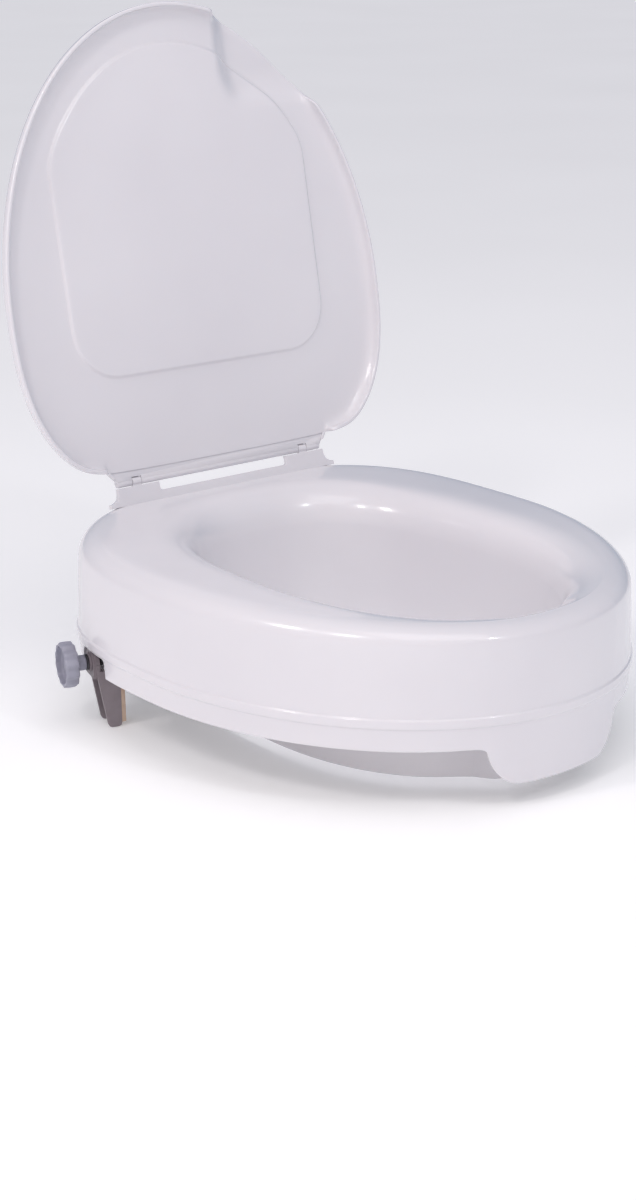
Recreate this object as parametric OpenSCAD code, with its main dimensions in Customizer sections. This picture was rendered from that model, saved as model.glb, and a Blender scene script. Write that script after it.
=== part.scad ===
/* [Seat outline] */
// Half of the widest width of the seat
seat_half_w = 185; // [170:1:200]
// Reach of the seat in front of its widest line
seat_front = 232; // [215:1:245]
// Reach of the seat behind its widest line
seat_rear = 182; // [176:1:190]
// Exponent of the front curve, 2 is an ellipse
front_power = 2.02; // [1.9:0.01:2.3]
// Exponent of the rear curve, higher is squarer
rear_power = 3; // [2.6:0.1:3.4]

/* [Seat heights] */
// Height of the deck above the bowl rim at the widest line
deck_z = 94; // [90:1:104]
// Extra height of the deck at the rear edge
rear_rise = 9; // [6:1:10]
// Loss of height of the deck at the front edge
front_drop = 8; // [4:1:10]
// Radius of the rolled outer edge of the deck
edge_r = 17; // [12:1:20]
// Height of the belt line round the skirt
belt_z = 27; // [26:1:30]
// Height of the skirt's lower edge above the bowl rim
skirt_z = 4; // [3.5:0.5:5]
// Height of the front apron's lower edge
apron_z = -25; // [-30:1:-18]
// Half of the apron's width along its lower edge
apron_half_w = 36; // [30:1:44]
// Wall thickness of the seat moulding
wall = 3.2; // [2.8:0.1:3.6]

/* [Opening] */
// Half of the opening's width at the top of the splash wall
hole_half_w = 106; // [98:1:110]
// Shift of the opening's widest line, negative is forward
hole_shift = -36; // [-40:1:-30]
// Reach of the opening behind its widest line
hole_rear = 150; // [144:1:152]
// Reach of the opening in front of its widest line
hole_front = 150; // [140:1:156]
// Width of the dished band round the opening
dish_w = 26; // [22:1:28]
// Depth of the dished band
dish_h = 25; // [20:1:28]
// Height of the splash wall's lower edge
splash_z = -34; // [-40:1:-26]
// Forward depth of the hygiene scoop at the front
scoop_d = 13; // [8:1:14]

/* [Clamps] */
// Sideways place of the clamp axis where it meets the skirt
clamp_x = 176; // [174:0.5:178]
// Place of the clamps behind the widest line
clamp_y = 92; // [90:1:94]
// Height of the clamp screw above the bowl rim
clamp_z = 8; // [7.6:0.1:8.4]
// Turn of the clamp screw towards the rear, in degrees
clamp_turn = 17; // [15:1:19]
// Diameter of the clamp knob
knob_d = 34.5; // [32:0.5:36]

/* [Hinge and lid] */
// Half of the hinge bracket's width
hinge_half_w = 100; // [96:1:102]
// Half of the lid's widest width
lid_half_w = 174; // [168:1:176]
// Length of the lid from the hinge pin to its front
lid_length = 350; // [346:1:354]
// Depth of the lid's turned-down rim
lid_rim = 9; // [7:0.5:10]
// Angle from closed to the lid's resting place
lid_open = 101; // [99:0.5:102]

/* [Hidden] */
$fn = 64;
stations = 112;
apron_corner = 25;
belt_h = 6.5;
edge_steps = 5;
dish_steps = 4;
skirt_inset = 2;
shell_white = "ghostwhite";
clamp_grey = "slategray";

// Clearance between parts that move past each other
gap = 0.3;

// Hinge place and sizes
pin_y = 160;
pin_z = 115.5;
pin_r = 1.25;
pin_end = 98;
pin_length = 34;
barrel_r = 3;
running = 0.05;
ear_from = 77;
ear_to = 85;
foot_y = 152;
foot_z = deck_z + rear_rise * pow(foot_y / seat_rear, 2);
neck_skin = 0.3;
plate_lean = 17.5;
plate_t = 4;
plate_h = 10.6;
flare_w = 9;
window_half_w = 62;
window_low = 4.3;
tongue_x = [-78, -26, 26, 78];
tongue_w = 16;
tongue_t = 3;
tongue_drop = 13;

// Lid sizes, in the closed pose, measured from the hinge pin
lid_t = 3;
lid_under = -2.2;
lid_edge_r = 7;
lid_mid = 127;
lid_back = 7;
lid_rear_reach = 150;
flange_tilt = 6.5;
flange_half_w = 106;
panel_half_w = 117;
panel_back = 81;
panel_corner = 36;
panel_rim = 64;
panel_step = 2;
scoop_at = 299;
scoop_rise = 7;

// Clamp sizes along the screw, measured outward from the skirt
screw_r = 4;
bore_r = screw_r + 0.06;
hood_r = 10.8;
hood_t = 2.3;
hood_in = -7.5;
notch_gap = 0.6;
notch_front = 32;
web_x = -5.5;
web_t = 3;
boss_r = 7;
boss_end = -1;
washer_t = 1.5;
washer_r = 6.2;
ring_r = 6.8;
ring_t = 1;
hub_r = 5.8;
knob_back = 8.8;
knob_h = 10.5;
knob_rim = 3;
knob_recess = 5;
knob_floor = 2;
flutes = 12;
flute_r = 3.4;
screw_tip = -27;
nut_af = 13;
nut_h = 6.5;
nut_boss_r = 9.2;
nut_boss_end = -12;
nut_wall_x = -38;
jaw_x = -22.5;
jaw_t = 3;
jaw_low = -50;
jaw_high = -10;
pad_t = 3.5;
flange_out = -4;

// Rest pads and ribs
pad_h = skirt_z;
pad_l = 30;
pad_w = 14;
rib_t = 2.6;
rib_low = skirt_z + 1;
pad_ribs = [42, 138, 222, 318];
plain_ribs = [8, 68, 112, 172, 196, 344];

function signed_pow(v, p) = sign(v) * pow(abs(v), p);
function curve(t, half_w, reach, power) =
  [half_w * signed_pow(cos(t), 2 / power), reach * signed_pow(sin(t), 2 / power)];
// Point on the seat's outline at parameter t, drawn in by inset
function seat_point(t, inset) = sin(t) < 0
  ? curve(t, seat_half_w - inset, seat_front - inset, front_power)
  : curve(t, seat_half_w - inset, seat_rear - inset, rear_power);
// Smooth step from 0 to 1 as v passes from low to high
function ease(v, low, high) = let (k = min(max((v - low) / (high - low), 0), 1)) k * k * (3 - 2 * k);
// Point on the opening's outline at parameter t, moved out by grow
function hole_point(t, grow) = let (
    rear = sin(t) >= 0,
    p = curve(t, hole_half_w + grow, (rear ? hole_rear : hole_front) + grow, rear ? 2.6 : 2.2),
    scoop = rear ? 0 : scoop_d * (1 - ease(abs(p[0]), 30, 44)) * (1 - ease(grow, 4, dish_w - 2))
  ) [p[0], p[1] + hole_shift - scoop];
// Lift of the contoured deck over its nominal height
function deck_lift(y) = y > 0 ? rear_rise * pow(y / seat_rear, 2) : -front_drop * pow(y / seat_front, 2);
function on_deck(p, z, share) = [p[0], p[1], z + share * deck_lift(p[1])];
// Lower edge of the skirt, which drops to the apron in a rounded corner each side of the front
function skirt_edge(t) = let (
    p = seat_point(t, 0),
    out = min(max((abs(p[0]) - apron_half_w) / apron_corner, 0), 1)
  ) p[1] > 0 ? skirt_z : skirt_z + (apron_z - skirt_z) * sqrt(1 - out * out);
function angles() = [for (i = [0:stations - 1]) (i + 0.5) * 360 / stations];
function seat_ring(inset, z, share) = [for (t = angles()) on_deck(seat_point(t, inset), z, share)];
function hole_ring(grow, z, share) = [for (t = angles()) on_deck(hole_point(t, grow), z, share)];
function low_ring(inset) = [for (t = angles()) let (p = seat_point(t, inset)) [p[0], p[1], skirt_edge(t)]];
function mid_ring(mix, drop) = [for (t = angles())
  let (a = seat_point(t, 3 + edge_r), b = hole_point(t, dish_w))
  on_deck(a + (b - a) * mix, deck_z - drop, 1)];
// Rolled outer edge, from the skirt up to the deck, drawn in by depth
function edge_rings(depth) = [for (i = [0:edge_steps]) let (a = 90 * i / edge_steps, r = edge_r - depth)
  seat_ring(3 + depth + r * (1 - cos(a)), deck_z - edge_r + r * sin(a), sin(a))];
// Dished band from the deck down to the splash wall, drawn in by depth
function dish_rings(depth) = [for (i = [0:dish_steps]) let (a = 90 * i / dish_steps, w = dish_w, h = dish_h)
  hole_ring(depth + w * (1 - sin(a)), deck_z - depth - h * (1 - cos(a)), 1)];

// Skin through a stack of rings, closed on itself like a tyre
module ring_skin(rings) {
  m = len(rings);
  n = len(rings[0]);
  function at(i, j) = (i % m) * n + j % n;
  polyhedron(
    points = [for (r = rings) each r],
    faces = [for (i = [0:m - 1], j = [0:n - 1])
      each [[at(i, j), at(i + 1, j), at(i + 1, j + 1)], [at(i, j), at(i + 1, j + 1), at(i, j + 1)]]]);
}
// Skin through a stack of rings with a flat face on each end
module stack_skin(rings) {
  m = len(rings);
  n = len(rings[0]);
  function at(i, j) = i * n + j % n;
  polyhedron(
    points = [for (r = rings) each r],
    faces = [
      [for (j = [0:n - 1]) j],
      for (i = [0:m - 2], j = [0:n - 1])
        each [[at(i, j), at(i + 1, j), at(i + 1, j + 1)], [at(i, j), at(i + 1, j + 1), at(i, j + 1)]],
      [for (j = [n - 1:-1:0]) (m - 1) * n + j]]);
}

module seat_shell() {
  ring_skin(concat(
    [low_ring(skirt_inset), seat_ring(1, belt_z - belt_h, 0), seat_ring(0.2, belt_z - belt_h + 1, 0),
      seat_ring(0, belt_z, 0), seat_ring(1.2, belt_z + 1.2, 0)],
    edge_rings(0),
    [mid_ring(0.33, 0), mid_ring(0.66, 0)],
    dish_rings(0),
    [hole_ring(-1, deck_z - dish_h - 4, 1), hole_ring(-4, splash_z, 0),
      hole_ring(-4 + wall, splash_z, 0), hole_ring(wall, deck_z - dish_h - wall, 1)],
    [for (r = [dish_steps - 1:-1:0]) dish_rings(wall)[r]],
    [mid_ring(0.66, wall), mid_ring(0.33, wall)],
    [for (r = [edge_steps:-1:0]) edge_rings(wall)[r]],
    [seat_ring(skirt_inset + wall, belt_z, 0), low_ring(skirt_inset + wall)]
  ));
}

// Upright rib between the splash wall and the skirt
module rib(t) {
  a = hole_point(t, 1);
  b = seat_point(t, skirt_inset + 2.2);
  d = b - a;
  run = norm(d);
  under = deck_z + deck_lift((a[1] + b[1]) / 2) - wall / 2;
  translate([a[0], a[1], 0])
    rotate([0, 0, atan2(d[1], d[0])])
      rotate([90, 0, 0])
        translate([0, 0, -rib_t / 2])
          linear_extrude(rib_t)
            polygon([[0, rib_low], [run, rib_low], [run, deck_z - edge_r - 7],
              [run - edge_r - 4, under - 5], [dish_w + 4, under - 5], [0, deck_z - dish_h - 14]]);
}
// Frame at the middle of a rest pad, with +X running outward along its rib
module at_pad(t) {
  a = hole_point(t, 0);
  b = seat_point(t, skirt_inset + wall);
  d = b - a;
  m = (a + b) / 2;
  translate([m[0], m[1], 0]) rotate([0, 0, atan2(d[1], d[0])]) children();
}
// Frame on the clamp screw, with +X running outward from the skirt
module at_clamp(side) {
  if (side > 0) translate([clamp_x, clamp_y, clamp_z]) rotate([0, 0, clamp_turn]) children();
  else mirror([1, 0, 0]) translate([clamp_x, clamp_y, clamp_z]) rotate([0, 0, clamp_turn]) children();
}
// Cylinder along +X from one place to another
module rod_x(from, to, r) translate([from, 0, 0]) rotate([0, 90, 0]) cylinder(h = to - from, r = r);
// Hexagonal bar along +X from one place to another
module hexagon(from, to, r) translate([from, 0, 0])
  rotate([0, 90, 0]) rotate([0, 0, 30]) cylinder(h = to - from, r = r, $fn = 6);

module nut_housing(side) {
  at_clamp(side) {
    difference() {
      rod_x(nut_wall_x + 1, nut_boss_end, nut_boss_r);
      translate([nut_wall_x, -14, -18 - clamp_z]) cube([40, 28, 18.4]);
    }
    translate([nut_wall_x, -14, 5 - clamp_z]) cube([5, 28, deck_z - 4]);
  }
}
module nut_pocket(side) {
  at_clamp(side) {
    rod_x(nut_wall_x + 6, nut_boss_end + 1, screw_r + 0.7);
    hexagon(nut_boss_end - nut_h, nut_boss_end + 1, nut_af / sqrt(3));
  }
}
module clamp_notch(side) {
  at_clamp(side) {
    rotate([0, 90, 0]) translate([0, 0, -10]) linear_extrude(18) hull() {
      circle(hood_r + notch_gap, $fn = 32);
      translate([3 - hood_r - notch_gap, 3 - notch_front]) circle(3, $fn = 24);
      translate([0, -notch_front]) square([30, notch_front + hood_r + notch_gap]);
    }
  }
}
module tongue_slots() {
  for (x = tongue_x)
    translate([x - tongue_w / 2 - 0.2, foot_y + 0.8, foot_z - 12])
      cube([tongue_w + 0.4, tongue_t + 0.4, 16]);
}

module seat_body() color(shell_white) difference() {
  union() {
    seat_shell();
    for (t = concat(pad_ribs, plain_ribs)) rib(t);
    for (t = pad_ribs) at_pad(t) translate([-pad_l / 2, -pad_w / 2, pad_h]) cube([pad_l, pad_w, 3]);
    for (side = [-1, 1]) nut_housing(side);
  }
  for (side = [-1, 1]) {
    clamp_notch(side);
    nut_pocket(side);
  }
  tongue_slots();
}
module rest_pad(t) color("dimgray") at_pad(t)
  translate([-pad_l / 2, -pad_w / 2, 0]) cube([pad_l, pad_w, pad_h]);

// Cylinder along X between two places on the hinge axis
module barrel(from, to, r) translate([from, 0, 0]) rotate([0, 90, 0]) cylinder(h = to - from, r = r);
module at_pin() translate([0, pin_y, pin_z]) children();

// Outline of the hinge bracket's plate, drawn upright from the deck
module plate_outline() difference() {
  polygon([[-hinge_half_w - flare_w, -3], [hinge_half_w + flare_w, -3], [hinge_half_w + flare_w, 0],
    [hinge_half_w + 3, 2], [hinge_half_w + 0.5, 6], [hinge_half_w, plate_h], [-hinge_half_w, plate_h],
    [-hinge_half_w - 0.5, 6], [-hinge_half_w - 3, 2], [-hinge_half_w - flare_w, 0]]);
  translate([-window_half_w, window_low]) square([2 * window_half_w, plate_h]);
}
// Ear round the hinge pin, with its neck below and the lid's stop behind
module ear() rotate([-plate_lean, 0, 0]) rotate([90, 0, 90])
  linear_extrude(ear_to - ear_from) difference() {
  union() {
    circle(barrel_r);
    translate([neck_skin - barrel_r, -barrel_r - 2]) square([plate_t - 2 * neck_skin, barrel_r + 2]);
    translate([gap / 3, -1]) square([barrel_r - 2 * neck_skin, 7]);
  }
  circle(pin_r + running);
}
module hinge_bracket() color(shell_white) union() {
  translate([0, foot_y + plate_t * cos(plate_lean), foot_z + plate_t * sin(plate_lean)])
    rotate([90 - plate_lean, 0, 0]) linear_extrude(plate_t) plate_outline();
  for (x = [-ear_to, ear_from]) at_pin() translate([x, 0, 0]) ear();
  for (x = tongue_x) translate([x - tongue_w / 2, foot_y + 1, foot_z - tongue_drop])
    cube([tongue_w, tongue_t, tongue_drop + 1.5]);
}
module hinge_pin(side) color("silver") at_pin()
  barrel(side > 0 ? pin_end - pin_length : -pin_end, side > 0 ? pin_end : pin_length - pin_end, pin_r);

// Point on the lid's outline at parameter t in the closed pose, drawn in by inset
function lid_point(t, inset) = let (
    p = sin(t) > 0
      ? curve(t, lid_half_w - inset, lid_rear_reach - inset, 2.6)
      : curve(t, lid_half_w - inset, lid_length - lid_mid - inset, 2),
    past = p[1] - lid_mid + lid_back + inset
  ) [p[0], -lid_back - inset + (past - sqrt(past * past + 150)) / 2];
// Share of the finger scoop at parameter t, to one side of the lid's front
function scoop_share(t) = 1 - ease(abs(t - scoop_at), 4, 15);
// Share of the turned-down rim, which fades out beside the hinge
function rim_share(p) = max(ease(-p[1], 14, 40), ease(abs(p[0]), 108, 124));
// Ring of the lid at a height, with the scoop's lift and the rim's drop
function lid_ring(inset, z, lift, drop) = [for (t = angles())
  let (p = lid_point(t, inset)) [p[0], p[1], z + lift * scoop_share(t) - drop * rim_share(p)]];
module lid_shell() {
  top = lid_under + lid_t;
  low = lid_rim - lid_edge_r + lid_t;
  stack_skin(concat(
    [lid_ring(60, lid_under, 0, 0), lid_ring(30, lid_under, scoop_rise / 2, 0),
      lid_ring(14, lid_under, scoop_rise, 0), lid_ring(5, lid_under, scoop_rise, 2),
      lid_ring(3, lid_under, scoop_rise, lid_rim), lid_ring(0, lid_under, scoop_rise, lid_rim)],
    [for (a = [0:22.5:90]) let (side = 1 - sin(a))
      lid_ring(lid_edge_r * (1 - cos(a)), top - lid_t * side, scoop_rise, low * side)],
    [lid_ring(30, top, scoop_rise / 2, 0), lid_ring(60, top, 0, 0)]
  ));
}
// Outline of the panel pressed into the lid, seen from above
module panel_outline(inset) {
  half = panel_half_w - inset;
  r = panel_corner - inset;
  intersection() {
    polygon([for (t = angles()) lid_point(t, panel_rim + inset)]);
    union() {
      translate([-half, -lid_length]) square([2 * half, lid_length - panel_back - panel_corner]);
      translate([r - half, -lid_length]) square([2 * (half - r), lid_length - panel_back - inset]);
      for (x = [-1, 1]) translate([x * (half - r), -panel_back - panel_corner]) circle(r);
    }
  }
}
module lid_closed() difference() {
  union() {
    lid_shell();
    translate([0, 0, lid_under - panel_step]) linear_extrude(panel_step + 1) panel_outline(0);
    rotate([-flange_tilt, 0, 0]) translate([0, 0, neck_skin - barrel_r])
      linear_extrude(barrel_r - 2 * neck_skin)
        polygon([[-hinge_half_w + 1, 0], [-flange_half_w, -10],
          [flange_half_w, -10], [hinge_half_w - 1, 0]]);
    barrel(-hinge_half_w + 1.5, hinge_half_w - 1.5, barrel_r);
  }
  translate([0, 0, lid_under + lid_t - panel_step]) linear_extrude(lid_t) panel_outline(panel_step);
  barrel(-pin_end - 5, pin_end + 5, pin_r + running);
  for (x = [-ear_to, ear_from]) translate([x - gap, -barrel_r - 1.4, -barrel_r - 3])
    cube([ear_to - ear_from + 2 * gap, 2 * barrel_r + 2.7, 2 * barrel_r + 6]);
}
module lid() color(shell_white) at_pin() rotate([-lid_open, 0, 0]) lid_closed();

// One jaw flange, seen along the skirt: out across, up the page
module jaw_flange() rotate([90, 0, 0]) linear_extrude(hood_t)
  polygon([[jaw_x, -8], [jaw_x, jaw_low + 2.5], [jaw_x + 2.5, jaw_low], [-13.5, jaw_low],
    [-11.5, jaw_low + 3], [-6, -14], [flange_out - 0.5, -4], [flange_out, 0], [hood_in, 0], [hood_in, -5]]);
module clamp_bracket(side) color(clamp_grey) at_clamp(side) difference() {
  union() {
    difference() {
      rod_x(hood_in, flange_out, hood_r);
      rod_x(hood_in - 1, flange_out + 1, hood_r - hood_t);
      translate([hood_in - 1, -hood_r - 1, -hood_r - 1])
        cube([flange_out - hood_in + 2, 2 * hood_r + 2, hood_r + 1]);
    }
    for (y = [hood_t - hood_r, hood_r]) translate([0, y, 0]) jaw_flange();
    translate([web_x, -hood_r + 1, -hood_r]) cube([web_t, 2 * hood_r - 2, hood_r]);
    rod_x(web_x, web_x + web_t, hood_r - 1);
    rod_x(web_x, boss_end, boss_r);
    translate([jaw_x, -hood_r + 1, jaw_low + 3]) cube([jaw_t, 2 * hood_r - 2, jaw_high - jaw_low - 3]);
  }
  rod_x(web_x - 1, boss_end + 1, bore_r);
}
module jaw_pad(side) color("tan") at_clamp(side)
  translate([jaw_x - pad_t, 0.4 - hood_r, jaw_low + 3])
    cube([pad_t, 2 * hood_r - 0.8, jaw_high - jaw_low - 5]);
module collar(from, to, r) difference() {
  rod_x(from, to, r);
  rod_x(from - 1, to + 1, screw_r);
}
module retaining_ring(side) color("dimgray") at_clamp(side)
  collar(web_x - gap - ring_t, web_x - gap, ring_r);
module thrust_washer(side) color("dimgray") at_clamp(side)
  collar(boss_end + gap, boss_end + gap + washer_t, washer_r);
module clamp_screw(side) color("dimgray") at_clamp(side)
  rod_x(screw_tip, knob_back + knob_h - knob_recess - knob_floor, screw_r);
module knob(side) color(clamp_grey) at_clamp(side) difference() {
  union() {
    rod_x(boss_end + gap + washer_t, knob_back + 1, hub_r);
    rod_x(knob_back, knob_back + knob_h, knob_d / 2);
  }
  for (i = [0:flutes - 1]) rotate([360 * i / flutes, 0, 0])
    translate([0, 0, knob_d / 2 + flute_r - 1.8]) rod_x(knob_back - 1, knob_back + knob_h + 1, flute_r);
  rod_x(knob_back + knob_h - knob_recess, knob_back + knob_h + 1, knob_d / 2 - knob_rim);
  rod_x(boss_end, knob_back + knob_h - knob_recess - knob_floor, screw_r);
}
module clamp_nut(side) color("silver") at_clamp(side) difference() {
  hexagon(nut_boss_end - nut_h + 0.2, nut_boss_end, nut_af / sqrt(3) - 0.05);
  rod_x(nut_boss_end - nut_h - 1, nut_boss_end + 1, bore_r);
}

seat_body();
rest_pad(pad_ribs[2]);  // front_left_pad
rest_pad(pad_ribs[3]);  // front_right_pad
rest_pad(pad_ribs[1]);  // rear_left_pad
rest_pad(pad_ribs[0]);  // rear_right_pad
hinge_bracket();
hinge_pin(-1);  // left_hinge_pin
hinge_pin(1);  // right_hinge_pin
lid();
clamp_nut(-1);  // left_nut
clamp_bracket(-1);  // left_clamp_bracket
jaw_pad(-1);  // left_jaw_pad
retaining_ring(-1);  // left_retaining_ring
thrust_washer(-1);  // left_thrust_washer
clamp_screw(-1);  // left_clamp_screw
knob(-1);  // left_knob
clamp_nut(1);  // right_nut
clamp_bracket(1);  // right_clamp_bracket
jaw_pad(1);  // right_jaw_pad
retaining_ring(1);  // right_retaining_ring
thrust_washer(1);  // right_thrust_washer
clamp_screw(1);  // right_clamp_screw
knob(1);  // right_knob
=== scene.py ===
"""Raised toilet seat with a hinged lid and two side clamps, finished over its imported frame."""
import bmesh
import bpy
from math import acos, atan2, cos, hypot, pi, radians, sin, sqrt
from mathutils import Matrix, Vector


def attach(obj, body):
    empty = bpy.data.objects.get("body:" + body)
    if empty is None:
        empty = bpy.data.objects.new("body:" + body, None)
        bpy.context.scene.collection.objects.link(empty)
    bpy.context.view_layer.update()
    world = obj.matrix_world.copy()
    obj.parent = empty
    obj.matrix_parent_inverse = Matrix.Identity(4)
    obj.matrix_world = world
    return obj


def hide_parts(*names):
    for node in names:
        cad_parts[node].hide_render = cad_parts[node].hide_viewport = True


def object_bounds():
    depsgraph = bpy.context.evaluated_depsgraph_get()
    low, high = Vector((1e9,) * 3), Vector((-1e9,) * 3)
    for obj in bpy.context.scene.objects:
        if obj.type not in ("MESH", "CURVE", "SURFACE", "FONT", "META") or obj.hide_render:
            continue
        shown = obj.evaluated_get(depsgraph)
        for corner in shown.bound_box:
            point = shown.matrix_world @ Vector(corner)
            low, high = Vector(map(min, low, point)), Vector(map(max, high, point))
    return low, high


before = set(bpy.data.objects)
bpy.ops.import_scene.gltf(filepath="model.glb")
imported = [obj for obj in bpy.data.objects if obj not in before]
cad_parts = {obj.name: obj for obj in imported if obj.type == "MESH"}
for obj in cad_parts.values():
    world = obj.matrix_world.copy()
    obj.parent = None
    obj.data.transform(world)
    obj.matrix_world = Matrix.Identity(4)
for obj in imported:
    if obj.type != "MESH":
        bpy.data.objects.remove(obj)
cad_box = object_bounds()

MM = 0.001

# Seat moulding, in millimetres, with its outline's widest line on the X axis
SEAT_HALF_W = 185
SEAT_FRONT = 232
SEAT_REAR = 182
FRONT_POWER = 2.02
REAR_POWER = 3.0
DECK_Z = 94
REAR_RISE = 9
FRONT_DROP = 8
EDGE_R = 17
BELT_Z = 27
BELT_H = 6.5
RIB_ANGLES = (8, 68, 112, 172, 196, 344)
PAD_ANGLES = {"front_left_pad": 222, "front_right_pad": 318, "rear_left_pad": 138, "rear_right_pad": 42}
SKIRT_Z = 4
APRON_Z = -25
APRON_HALF_W = 36
APRON_CORNER = 25
SKIRT_INSET = 2
WALL = 3.2

# Opening, dished band, splash wall and hygiene scoop
HOLE_HALF_W = 106
HOLE_SHIFT = -36
HOLE_REACH = 150
DISH_W = 26
DISH_H = 25
SPLASH_Z = -34
SCOOP_D = 13

# Clamps, measured along each screw outward from the skirt
CLAMP = Vector((176, 92, 8))
CLAMP_TURN = radians(17)
HOOD_R = 10.8
HOOD_T = 2.3
NOTCH_R = 11.4
NOTCH_FRONT = 32
NOTCH_CORNER = 3
KNOB_R = 17.25
FLUTES = 12
NUT_FLATS = 6.45
POCKET_FLATS = 6.5

# Hinge and lid
PIN = Vector((0, 160, 115.5))
PIN_R = 1.25
BARREL_R = 3
PLATE_LEAN = radians(17.5)
PLATE_H = 11.1
FOOT_Y = 152
TONGUES_X = (-78, -26, 26, 78)
LID_OPEN = radians(101)
LID_HALF_W = 174
LID_LENGTH = 350
LID_MID = 127
LID_BACK = 7
LID_UNDER = -2.2
LID_T = 3
LID_RIM = 9
PANEL_Y = -LID_MID - 60
PANEL_STEP = 2.0
DENT_R = 35
DENT_H = 10.5


# ---------------------------------------------------------------- helpers

def signed_pow(v, p):
    return abs(v) ** p * (1 if v > 0 else -1 if v < 0 else 0)


def curve(t, half_w, reach, power):
    return half_w * signed_pow(cos(t), 2 / power), reach * signed_pow(sin(t), 2 / power)


def ease(v, low, high):
    k = min(max((v - low) / (high - low), 0), 1)
    return k * k * (3 - 2 * k)


def link(name, bm):
    """Turn a bmesh in millimetres into a smooth-shaded piece in metres."""
    bmesh.ops.recalc_face_normals(bm, faces=bm.faces)
    bm.transform(Matrix.Scale(MM, 4))
    mesh = bpy.data.meshes.new(name)
    bm.to_mesh(mesh)
    bm.free()
    for face in mesh.polygons:
        face.use_smooth = True
    piece = bpy.data.objects.new(name, mesh)
    bpy.context.scene.collection.objects.link(piece)
    return piece


def subdivide(piece, levels):
    stack = piece.modifiers.new("smooth", "SUBSURF")
    stack.levels = levels
    stack.render_levels = levels
    return piece


def bevel(piece, width, segments=2, angle=32):
    stack = piece.modifiers.new("edges", "BEVEL")
    stack.width = width * MM
    stack.segments = segments
    stack.limit_method = "ANGLE"
    stack.angle_limit = radians(angle)
    stack.harden_normals = True
    return piece


def bake(piece):
    """Apply a piece's modifier stack to its mesh."""
    graph = bpy.context.evaluated_depsgraph_get()
    mesh = bpy.data.meshes.new_from_object(piece.evaluated_get(graph))
    piece.modifiers.clear()
    old = piece.data
    piece.data = mesh
    mesh.name = piece.name
    bpy.data.meshes.remove(old)
    return piece


def cut(piece, cutter):
    """Cut a finished piece with a helper, which is then removed."""
    tool = piece.modifiers.new("cut", "BOOLEAN")
    tool.operation = "DIFFERENCE"
    tool.solver = "EXACT"
    tool.object = cutter
    bake(piece)
    bpy.data.objects.remove(cutter)
    return piece


def sharpen(piece, angle):
    """Keep creases over an angle crisp, and shade the rest smoothly."""
    piece.data.set_sharp_from_angle(angle=radians(angle))
    return piece


def skin(bm, rings, closed=False, caps=False):
    """Quads between rings of points, closed on itself like a tyre or capped at both ends."""
    loops = [[bm.verts.new(p) for p in ring] for ring in rings]
    count = len(loops[0])
    pairs = zip(loops, loops[1:] + loops[:1]) if closed else zip(loops, loops[1:])
    for a, b in pairs:
        for j in range(count):
            k = (j + 1) % count
            bm.faces.new((a[j], b[j], b[k], a[k]))
    if caps:
        bm.faces.new(loops[0])
        bm.faces.new(list(reversed(loops[-1])))
    return loops


def prism(bm, outline, place, depth):
    """Solid from an outline in the XY plane, raised by depth along Z, then placed."""
    low = [bm.verts.new(place @ Vector((x, y, 0))) for x, y in outline]
    high = [bm.verts.new(place @ Vector((x, y, depth))) for x, y in outline]
    bm.faces.new(list(reversed(low)))
    bm.faces.new(high)
    for j in range(len(outline)):
        k = (j + 1) % len(outline)
        bm.faces.new((low[j], low[k], high[k], high[j]))


def block(bm, low, high, place=Matrix.Identity(4)):
    outline = [(low[0], low[1]), (high[0], low[1]), (high[0], high[1]), (low[0], high[1])]
    prism(bm, outline, place @ Matrix.Translation((0, 0, low[2])), high[2] - low[2])


def turned(bm, profile, place=Matrix.Identity(4), segments=48):
    """Closed solid turned about Z from (radius, height) points, its ends on the axis or capped."""
    rings = [[place @ Vector((r * cos(2 * pi * j / segments), r * sin(2 * pi * j / segments), z))
              for j in range(segments)] for r, z in profile]
    skin(bm, rings, caps=True)


def tube_turned(bm, profile, place=Matrix.Identity(4), segments=48):
    """Ring-shaped solid turned about Z from a closed (radius, height) section."""
    rings = [[place @ Vector((r * cos(2 * pi * j / segments), r * sin(2 * pi * j / segments), z))
              for j in range(segments)] for r, z in profile]
    skin(bm, rings, closed=True)


# ---------------------------------------------------------------- finishes

def finish(name, color, roughness, coat=0.0, subsurface=0.0, metallic=0.0, specular=0.5):
    material = bpy.data.materials.new(name)
    material.use_nodes = True
    tree = material.node_tree
    shader = tree.nodes["Principled BSDF"]
    shader.inputs["Base Color"].default_value = (*color, 1)
    shader.inputs["Roughness"].default_value = roughness
    shader.inputs["Metallic"].default_value = metallic
    shader.inputs["Specular IOR Level"].default_value = specular
    shader.inputs["Coat Weight"].default_value = coat
    shader.inputs["Coat Roughness"].default_value = 0.06
    shader.inputs["Subsurface Weight"].default_value = subsurface
    shader.inputs["Subsurface Radius"].default_value = (0.01, 0.008, 0.007)
    shader.inputs["Subsurface Scale"].default_value = 0.6
    coords = tree.nodes.new("ShaderNodeTexCoord")
    return material, tree, shader, coords


def noise(tree, coords, scale, detail=3.0, rough=0.5, stretch=None):
    source = coords.outputs["Object"]
    if stretch:
        mapping = tree.nodes.new("ShaderNodeMapping")
        mapping.inputs["Scale"].default_value = stretch
        tree.links.new(source, mapping.inputs["Vector"])
        source = mapping.outputs["Vector"]
    node = tree.nodes.new("ShaderNodeTexNoise")
    node.inputs["Scale"].default_value = scale
    node.inputs["Detail"].default_value = detail
    node.inputs["Roughness"].default_value = rough
    tree.links.new(source, node.inputs["Vector"])
    return node.outputs["Fac"]


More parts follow.
